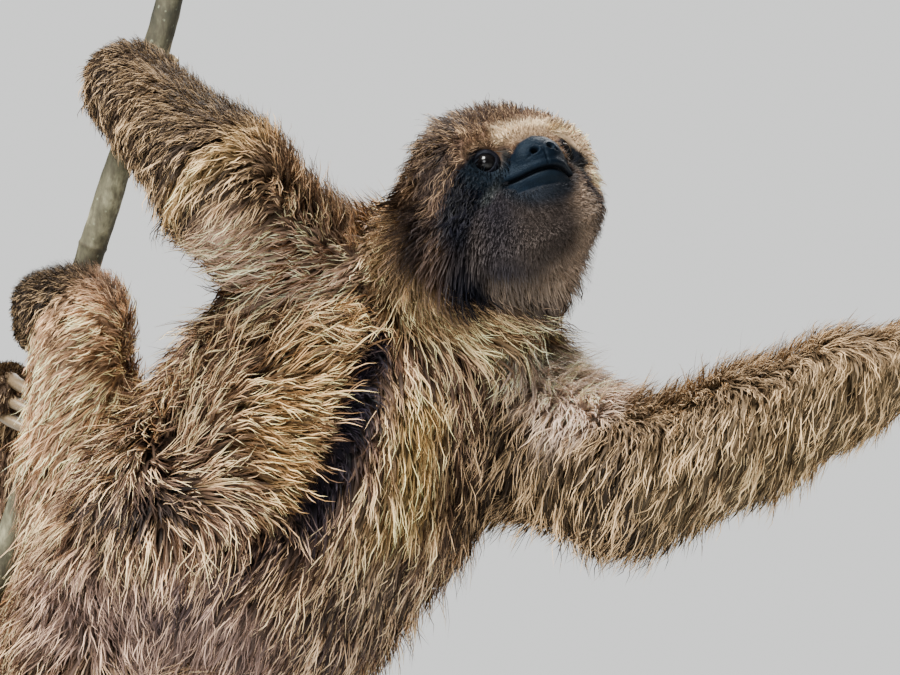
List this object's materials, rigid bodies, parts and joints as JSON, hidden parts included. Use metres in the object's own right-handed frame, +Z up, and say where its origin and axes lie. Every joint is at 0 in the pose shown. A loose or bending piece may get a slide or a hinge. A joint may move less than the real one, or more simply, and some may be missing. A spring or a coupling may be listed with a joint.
{
  "type": "three-toed sloth",
  "caption": "Life-size display model of a three-toed sloth climbing a thin stem, its head turned over its shoulder and one arm reaching out, on a plain stand.",
  "frame": {"origin": "centre of the underside of the stand's base plate", "axes": "+Z up, square to the underside of the base plate; +X toward the animal's reaching right arm, along the base's long side; +Y away from the animal's back, toward the stem and the belly side"},
  "size_m": [0.5407, 0.2834, 0.4894],
  "materials": {
    "coat": "long shaggy brown and straw coloured fur with a dark stripe down the back",
    "eye": "wet dark brown eye",
    "claw": "satin horn, paler at the root",
    "bark": "rough mottled grey-beige bark, pale end grain where it is cut",
    "stand_wood": "dark stained satin wood",
    "stand_steel": "brushed steel"
  },
  "bodies": {
    "root": {"head": "coat", "hand_left": "coat", "hand_right": "coat", "foot_left": "coat", "foot_right": "coat", "neck": "coat", "trunk_front": "coat", "trunk_rear": "coat", "tail": "coat", "upper_arm_left": "coat", "forearm_left": "coat", "upper_arm_right": "coat", "forearm_right": "coat", "thigh_right": "coat", "shin_right": "coat", "thigh_left": "coat", "shin_left": "coat", "eye_left": "eye", "eye_right": "eye", "claw_hand_left_1": "claw", "claw_hand_left_2": "claw", "claw_hand_left_3": "claw", "claw_hand_right_1": "claw", "claw_hand_right_2": "claw", "claw_hand_right_3": "claw", "claw_foot_left_1": "claw", "claw_foot_left_2": "claw", "claw_foot_left_3": "claw", "claw_foot_right_1": "claw", "claw_foot_right_2": "claw", "claw_foot_right_3": "claw", "perch_stem": "bark", "stand_base": "stand_wood", "stand_post_stem": "stand_steel", "stand_post_belly": "stand_steel"}
  },
  "joints": []
}
